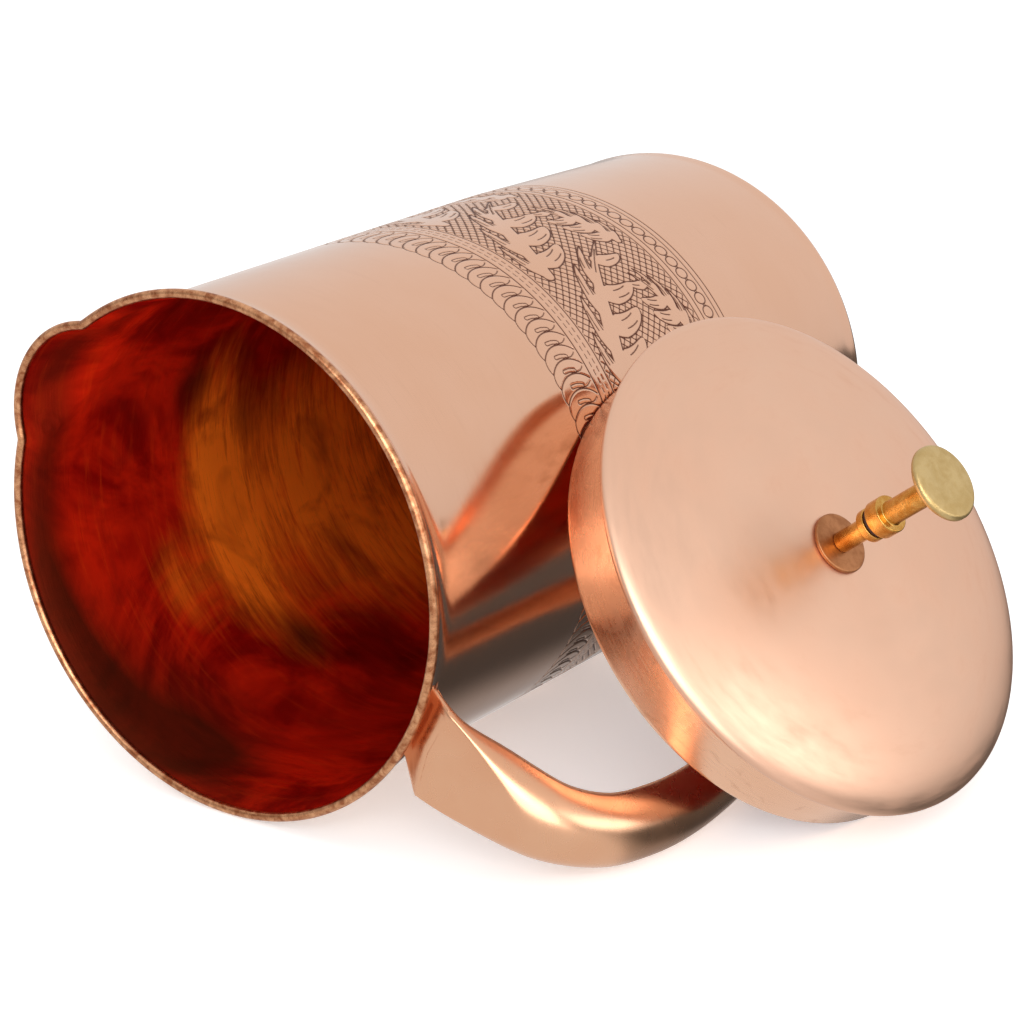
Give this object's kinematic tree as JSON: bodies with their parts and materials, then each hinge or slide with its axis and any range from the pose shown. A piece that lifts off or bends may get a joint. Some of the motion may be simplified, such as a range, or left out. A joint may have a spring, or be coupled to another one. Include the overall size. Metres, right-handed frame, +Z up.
{
  "type": "copper water jug",
  "caption": "Tapered copper water jug with a pinched spout, an engraved band and a hollow folded handle, lying on its side with its shallow domed lid and brass knob leaning on it.",
  "frame": {"origin": "on the floor, under the middle of the box that holds the jug and the lid", "axes": "+Z up from the floor; X along the lying jug's axis, with the mouth towards -X and the base towards +X; the lid leans on the jug's -Y side"},
  "size_m": [0.1826, 0.1852, 0.1138],
  "materials": {
    "copper": "polished copper",
    "aged_copper": "heat-darkened copper and braze",
    "washer_copper": "dull copper",
    "brass": "worn brass",
    "gasket": "matte"
  },
  "bodies": {
    "jug": {"body_wall": "copper", "rim_bead": "aged_copper", "base_plate": "copper", "handle_shell": "copper", "handle_inner_strip": "copper", "handle_end_cap": "aged_copper", "upper_braze": "aged_copper", "lower_braze": "aged_copper"},
    "lid": {"lid_dome": "copper", "lid_skirt": "copper", "knob_washer": "washer_copper", "knob_lower_sleeve": "brass", "knob_gasket": "gasket", "knob_upper_sleeve": "brass", "knob_screw": "brass", "inner_washer": "washer_copper", "knob_nut": "brass"}
  },
  "joints": [
    {"name": "lid_lift", "type": "slide", "parent": "jug", "child": "lid", "axis": [-0.1498, -0.7855, 0.6004], "range_m": [0, 0.15]}
  ]
}
